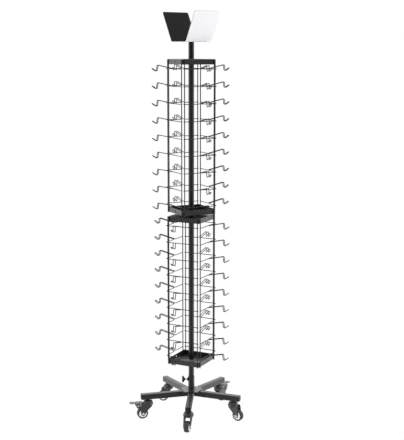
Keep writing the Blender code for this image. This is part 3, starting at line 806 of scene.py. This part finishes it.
def tray_mesh():
    """A folded square tray, floor down: rings run from the bush hole out over the rim and back."""
    corner_steps = 12

    def square(inset, z):
        corner = max(TRAY_CORNER - inset, 0.0004)
        return [(x, y, z) for x, y in rounded_square(TRAY_HALF - inset, corner, corner_steps)]

    def circle(radius, z):
        ring = []
        for i in range(4):
            for k in range(corner_steps + 1):
                angle = math.pi / 2 * (i - 0.5 + (k + 0.5) / (corner_steps + 1))
                ring.append((*polar(radius, angle), z))
        return ring

    t, rim, bend = TRAY_WALL, 0.0004, 0.0012
    rings = [circle(BUSH_HOLE_RADIUS, 0.0), circle(BUSH_HOLE_RADIUS, t)]
    for i in range(4):
        angle = math.pi / 2 * i / 3
        rings.append(square(t + bend * (1 - math.sin(angle)), t + bend * (1 - math.cos(angle))))
    rings += [square(t, TRAY_HEIGHT - rim), square(t - rim, TRAY_HEIGHT), square(rim, TRAY_HEIGHT)]
    rings.append(square(0.0, TRAY_HEIGHT - rim))
    outer = bend + t
    for i in range(5):
        angle = math.pi / 2 * i / 4
        rings.append(square(outer * (1 - math.cos(angle)), outer * (1 - math.sin(angle))))
    tray = loft("tray", rings, closed=True)
    reach = TRAY_HALF + 0.004
    across = move(z=TRAY_HEIGHT / 2) @ turn(math.pi / 2, "Y")
    return combine(tray, placed(rod("bolt", TRAY_HOLE_RADIUS, -reach, reach, 32), across), "DIFFERENCE")


def bush_mesh(node):
    """A nylon bush: a flange under the tray's floor and a sleeve through its hole."""
    low, high = heights(node)
    bore, sleeve, step = MAST_RADIUS + GAP, BUSH_HOLE_RADIUS - GAP, low + BUSH_FLANGE_THICKNESS
    profile = (
        (bore, low, 0.0005), (BUSH_FLANGE_RADIUS, low, 0.0006), (BUSH_FLANGE_RADIUS, step, 0.0006),
        (sleeve, step, 0.0), (sleeve, high, 0.0005), (bore, high, 0.0005),
    )
    return lathe("bush", fillet_rows(profile, 3, closed=True), 64)


def hook_path(height):
    """One hook wire: crossbar, out along a prong, round its tip, back along the other and crossbar."""
    half, radii = [(CROSSBAR_HALF, CROSSBAR_OUT, height)], [0.0]
    for out, up, radius in PRONG_PROFILE:
        half.append((PRONG_HALF_GAP, CROSSBAR_OUT + out, height + up))
        radii.append(radius)
    half.append((PRONG_HALF_GAP, CROSSBAR_OUT + PRONG_TIP[0], height + PRONG_TIP[1]))
    radii.append(PRONG_HALF_GAP - 0.0003)
    points = half + [(-x, y, z) for x, y, z in reversed(half)]
    return fillet(points, radii + radii[::-1], 6)


def panel_mesh():
    """Two uprights and nine hook wires, joined where they cross."""
    low, high = -UPRIGHT_PAST_TRAY, RACK_HEIGHT - UPRIGHT_PAST_TRAY
    hooks, uprights = [], []
    for row in range(HOOK_ROWS):
        height = FIRST_ROW + row * ROW_PITCH
        hooks.append(wire("hook", hook_path(height), HOOK_RADIUS))
    for side in (-1, 1):
        x = side * UPRIGHT_OFFSET
        path = [Vector((x, UPRIGHT_OUT, low)), Vector((x, UPRIGHT_OUT, high))]
        uprights.append(wire("upright", path, UPRIGHT_RADIUS, 20))
    return combine(joined("hooks", hooks), joined("uprights", uprights), "UNION")


def make_racks():
    tray, panel = tray_mesh(), panel_mesh()
    flipped = move(z=TRAY_HEIGHT) @ turn(math.pi, "X")
    for rack, yaw in RACK_YAW.items():
        base = JOINTS[f"{rack}_rack_spin"]["pos_m"][2]
        place = move(z=base) @ turn(yaw)
        stand_in(tray, f"{rack}_rack_base_tray", place)
        upper = place @ move(z=RACK_HEIGHT - TRAY_HEIGHT) @ flipped
        stand_in(tray, f"{rack}_rack_top_tray", upper)
        for end in ("base", "top"):
            node = f"{rack}_rack_{end}_bush"
            stand_in(bush_mesh(node), node)
        for face in range(4):
            node = f"{rack}_rack_hook_panel_{face + 1}"
            stand_in(panel, node, place @ turn(face * math.pi / 2))


# ---------------------------------------------------------------------------------------------
# Sign
# ---------------------------------------------------------------------------------------------

def panel_stations(border):
    """Rows up a sign panel: (distance along the slope, half length there)."""
    half, corner_start = SIGN_LENGTH / 2, SIGN_PANEL - SIGN_CORNER
    stations = [(SIGN_FOLD, half)]
    if border > 0.0:
        stations.append((border, half))
    stations.append((corner_start, half))
    for i in range(1, SIGN_CORNER_STEPS + 1):
        angle = math.pi / 2 * i / SIGN_CORNER_STEPS
        reach = corner_start + SIGN_CORNER * math.sin(angle)
        stations.append((reach, half - SIGN_CORNER * (1 - math.cos(angle))))
    return stations


def half_section(offset, border):
    """Half of the sign's cross section, from its middle out and up: rows of (point, half length there)."""
    outward = Vector((math.cos(SIGN_LEAN), -math.sin(SIGN_LEAN)))
    points = [(Vector((0.0, -offset)), SIGN_LENGTH / 2)]
    points.append((Vector((SIGN_HALF_BASE - SIGN_FOLD, -offset)), SIGN_LENGTH / 2))
    for i in range(1, SIGN_FOLD_STEPS):
        share = i / SIGN_FOLD_STEPS
        bent = Vector((0.0, -1.0)).lerp(outward, share).normalized()
        middle = SIGN_FOOT + SIGN_SLOPE * SIGN_FOLD * share - Vector((SIGN_FOLD * (1 - share), 0.0))
        points.append((middle + bent * offset, SIGN_LENGTH / 2))
    for reach, wide in panel_stations(border):
        points.append((SIGN_FOOT + SIGN_SLOPE * reach + outward * offset, wide))
    return points


def folded_sheet(name, out, thickness, border):
    """The sign's bent sheet: a base and two leaning panels with rounded top corners.

    out is how far outside the fold line its inner face lies. Faces within border of a panel's edge take
    the second material slot.
    """
    half = SIGN_LENGTH / 2
    bm = bmesh.new()

    def row(point, wide, side):
        """Vertices along the sheet's length: its two ends, and its border lines if it has a border."""
        spots = [-wide, -half + border, half - border, wide] if border > 0.0 else [-wide, wide]
        return [bm.verts.new((max(-wide, min(wide, x)), side * point.x, point.y)) for x in spots]

    layers = []
    for offset in (out, out + thickness):
        line = half_section(offset, border)
        rows = [row(point, wide, -1) for point, wide in reversed(line[1:])]
        layers.append(rows + [row(point, wide, 1) for point, wide in line])
    last = len(layers[0][0]) - 1
    for rows in layers:
        for low, high in zip(rows, rows[1:]):
            for i in range(last):
                bm.faces.new((low[i], low[i + 1], high[i + 1], high[i]))
    inner, outer = layers
    for k in range(len(inner) - 1):
        for i in (0, last):
            bm.faces.new((inner[k][i], inner[k + 1][i], outer[k + 1][i], outer[k][i]))
    for k in (0, len(inner) - 1):
        for i in range(last):
            bm.faces.new((inner[k][i], inner[k][i + 1], outer[k][i + 1], outer[k][i]))
    bmesh.ops.remove_doubles(bm, verts=bm.verts, dist=1e-6)
    if border > 0.0:
        for face in bm.faces:
            middle = face.calc_center_median()
            reach = (Vector((abs(middle.y), middle.z)) - SIGN_FOOT).dot(SIGN_SLOPE)
            on_panel = abs(middle.y) > SIGN_HALF_BASE + 0.001
            if on_panel and (abs(middle.x) > half - border or not border <= reach <= SIGN_PANEL - border):
                face.material_index = 1
    return from_bmesh(name, bm)


def make_sign():
    place = turn(SIGN_YAW) @ move(z=heights("sign_holder")[0] + SIGN_SHEET)
    for node, out, thickness, border in (
        ("sign_holder", 0.0, SIGN_SHEET, 0.0),
        ("sign_card", SIGN_SHEET + GAP, CARD_SHEET, CARD_BORDER),
    ):
        sheet = folded_sheet(node, out, thickness, border)
        sheet = combine(sheet, rod("hole", SIGN_SCREW_HOLE, -0.01, 0.01, 32), "DIFFERENCE")
        stand_in(sheet, node, place)
        if border > 0.0:
            sheet.materials.append(CARD_BORDER_FINISH)
    low, high = heights("sign_screw")
    head = high - 0.003
    profile = (
        (0, low), (0.0024, low), (0.0030, low + 0.0008), (0.0030, head), (0.0060, head),
        (0.0056, head + 0.0018), (0.0040, high), (0.0026, high), (0.0024, high - 0.0012), (0, high - 0.0012),
    )
    stand_in(lathe("screw", profile, 40), "sign_screw")


# ---------------------------------------------------------------------------------------------
# Stage
# ---------------------------------------------------------------------------------------------

def make_camera():
    data = bpy.data.cameras.new("camera")
    data.lens = CAMERA_LENS
    camera = linked("camera", data)
    aim = turn(math.pi / 2 - CAMERA_PITCH, "X") @ turn(CAMERA_ROLL)
    camera.matrix_world = MAST_AXIS @ move(*CAMERA_FROM_MAST) @ aim
    bpy.context.scene.camera = camera


def white_for_camera(tree, surface):
    """An output that is plain white to the camera, and the given surface to all other light."""
    nodes, links = tree.nodes, tree.links
    seen = nodes.new("ShaderNodeEmission")
    seen.inputs["Color"].default_value = WHITE
    seen.inputs["Strength"].default_value = 1.0
    ray = nodes.new("ShaderNodeLightPath")
    mix = nodes.new("ShaderNodeMixShader")
    links.new(ray.outputs["Is Camera Ray"], mix.inputs["Fac"])
    links.new(surface, mix.inputs[1])
    links.new(seen.outputs["Emission"], mix.inputs[2])
    return mix.outputs["Shader"]


def make_floor():
    bm = bmesh.new()
    bmesh.ops.create_circle(bm, cap_ends=True, segments=96, radius=FLOOR_RADIUS)
    floor = linked("floor", from_bmesh("floor", bm))
    pale = bpy.data.materials.new("pale_floor")
    pale.use_nodes = True
    nodes, links = pale.node_tree.nodes, pale.node_tree.links
    shader = nodes["Principled BSDF"]
    shader.inputs["Base Color"].default_value = FLOOR_COLOUR
    shader.inputs["Roughness"].default_value = FLOOR_ROUGHNESS
    shader.inputs["Emission Color"].default_value = WHITE
    shader.inputs["Emission Strength"].default_value = FLOOR_GLOW
    white = white_for_camera(pale.node_tree, shader.outputs["BSDF"])
    links.new(white, nodes["Material Output"].inputs["Surface"])
    floor.data.materials.append(pale)
    floor.visible_glossy = False


def make_world():
    """A studio of white panels to the sides, above and behind, with a dim gap low down straight behind.

    The front is dim too. The camera itself sees plain white past the floor.
    """
    world = bpy.data.worlds.new("studio")
    bpy.context.scene.world = world
    world.use_nodes = True
    nodes, links = world.node_tree.nodes, world.node_tree.links
    nodes.clear()
    place = nodes.new("ShaderNodeTexCoord")
    split = nodes.new("ShaderNodeSeparateXYZ")
    links.new(place.outputs["Generated"], split.inputs["Vector"])

    def ramp(value, span, low, high):
        made = nodes.new("ShaderNodeMapRange")
        made.interpolation_type = "SMOOTHSTEP"
        for name, number in zip(("From Min", "From Max", "To Min", "To Max"), (*span, low, high)):
            made.inputs[name].default_value = number
        links.new(value, made.inputs["Value"])
        return made.outputs["Result"]

    def maths(operation, *values):
        made = nodes.new("ShaderNodeMath")
        made.operation = operation
        for socket, value in zip(made.inputs, values):
            links.new(value, socket)
        return made.outputs["Value"]

    behind = ramp(split.outputs["Y"], FRONT_TO_BACK_SPAN, FRONT_LEVEL, BACK_LEVEL)
    beside = ramp(maths("ABSOLUTE", split.outputs["X"]), GAP_TO_SIDE_SPAN, DIM_LEVEL, 1.0)
    above = ramp(split.outputs["Z"], GAP_TO_TOP_SPAN, DIM_LEVEL, 1.0)
    studio = nodes.new("ShaderNodeBackground")
    links.new(maths("MULTIPLY", behind, maths("MAXIMUM", beside, above)), studio.inputs["Strength"])
    studio.inputs["Color"].default_value = WHITE
    output = nodes.new("ShaderNodeOutputWorld")
    links.new(white_for_camera(world.node_tree, studio.outputs["Background"]), output.inputs["Surface"])


def make_softbox():
    """A square light overhead that gives the tops of the arms and trays their shine."""
    data = bpy.data.lights.new("overhead_softbox", "AREA")
    data.shape = "RECTANGLE"
    data.size = data.size_y = SOFTBOX_SIZE
    data.energy = SOFTBOX_POWER
    light = linked("overhead_softbox", data)
    light.location = SOFTBOX_PLACE
    light.rotation_euler = (SOFTBOX_TARGET - SOFTBOX_PLACE).to_track_quat("-Z", "Y").to_euler()


def make_stage():
    make_camera()
    make_floor()
    make_world()
    make_softbox()
    bpy.context.scene.view_settings.view_transform = "Standard"


make_stage()
make_hub()
make_casters()
make_mast()
make_socket()
make_clamp()
make_racks()
make_sign()
